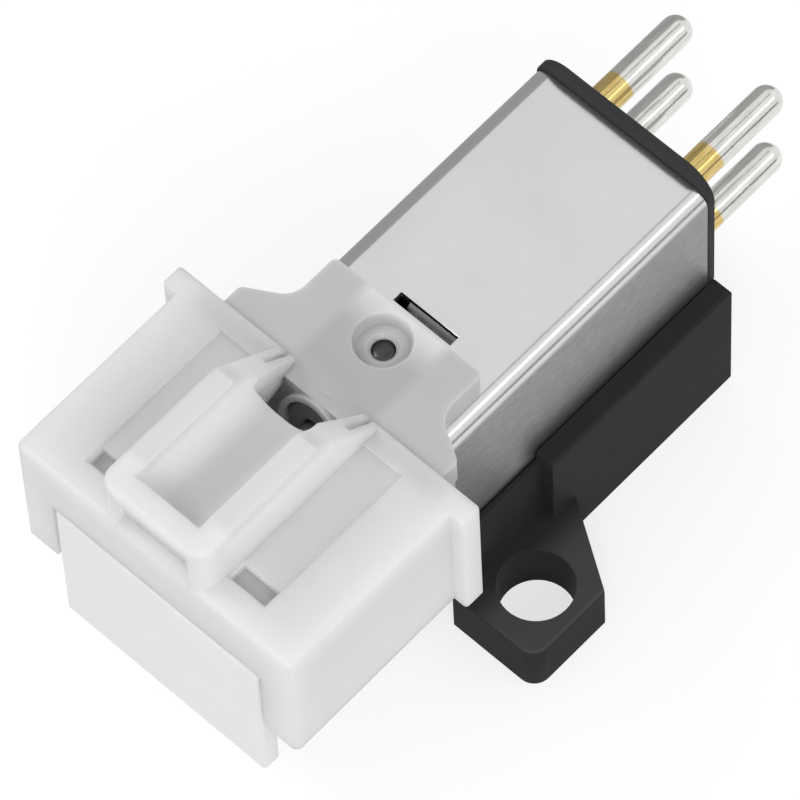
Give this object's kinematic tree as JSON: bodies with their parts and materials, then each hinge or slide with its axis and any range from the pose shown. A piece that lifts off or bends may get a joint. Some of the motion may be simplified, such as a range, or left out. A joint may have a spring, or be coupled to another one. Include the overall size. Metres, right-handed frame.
{
  "type": "phono cartridge",
  "caption": "Moving-magnet phono cartridge with half-inch mounting ears, metal shield can, rear terminal pins, pull-off stylus holder with sprung needle, and a frosted push-on stylus guard.",
  "frame": {"origin": "on the mounting face, midway between the axes of the two mounting holes", "axes": "+Z from the mounting face to the record side; +Y back to the terminal pins; +X across the ears"},
  "size_m": [0.0166, 0.0301, 0.0169],
  "materials": {
    "base_plastic": "moulded black, satin",
    "shield_metal": "satin plated sheet",
    "pin_metal": "nickel plated, gold at the root",
    "core_metal": "annealed soft-magnetic strip",
    "bobbin_plastic": "moulded natural nylon",
    "winding_wire": "enamelled copper",
    "lead_wire": "enamelled copper",
    "holder_plastic": "milky translucent, satin",
    "guard_plastic": "frosted translucent",
    "damper_rubber": "matte butyl",
    "cantilever_alloy": "drawn tube",
    "magnet_metal": "sintered",
    "diamond": "ground diamond"
  },
  "bodies": {
    "cartridge_body": {"mounting_base": "base_plastic", "shield_can": "shield_metal", "terminal_plate": "base_plastic", "rear_yoke": "core_metal", "terminal_pin_left_signal": "pin_metal", "coil_lead_left_signal": "lead_wire", "terminal_pin_left_return": "pin_metal", "coil_lead_left_return": "lead_wire", "terminal_pin_right_signal": "pin_metal", "coil_lead_right_signal": "lead_wire", "terminal_pin_right_return": "pin_metal", "coil_lead_right_return": "lead_wire", "pole_core_left": "core_metal", "coil_bobbin_left": "bobbin_plastic", "coil_winding_left": "winding_wire", "pole_core_right": "core_metal", "coil_bobbin_right": "bobbin_plastic", "coil_winding_right": "winding_wire"},
    "stylus_unit": {"stylus_holder": "holder_plastic"},
    "damper": {"damper_ring": "damper_rubber"},
    "needle": {"cantilever": "cantilever_alloy", "stylus_tip": "diamond", "magnet_carrier": "cantilever_alloy", "magnet_left": "magnet_metal", "magnet_right": "magnet_metal"},
    "guard_cover": {"stylus_guard": "guard_plastic"}
  },
  "joints": [
    {"name": "stylus_pull", "type": "slide", "parent": "cartridge_body", "child": "stylus_unit", "axis": [0, -1, 0], "range_m": [0, 0.008]},
    {"name": "guard_pull", "type": "slide", "parent": "stylus_unit", "child": "guard_cover", "axis": [0, -1, 0], "range_m": [0, 0.01]},
    {"name": "needle_swing", "type": "hinge", "parent": "stylus_unit", "child": "damper", "pos_m": [0, -0.00365, 0.0123], "axis": [0, 0, 1], "range_deg": [-3, 3], "stiffness_Nm_per_rad": 0.0036},
    {"name": "needle_lift", "type": "hinge", "parent": "damper", "child": "needle", "pos_m": [0, -0.00365, 0.0123], "axis": [1, 0, 0], "range_deg": [-1.5, 4], "stiffness_Nm_per_rad": 0.0036}
  ]
}
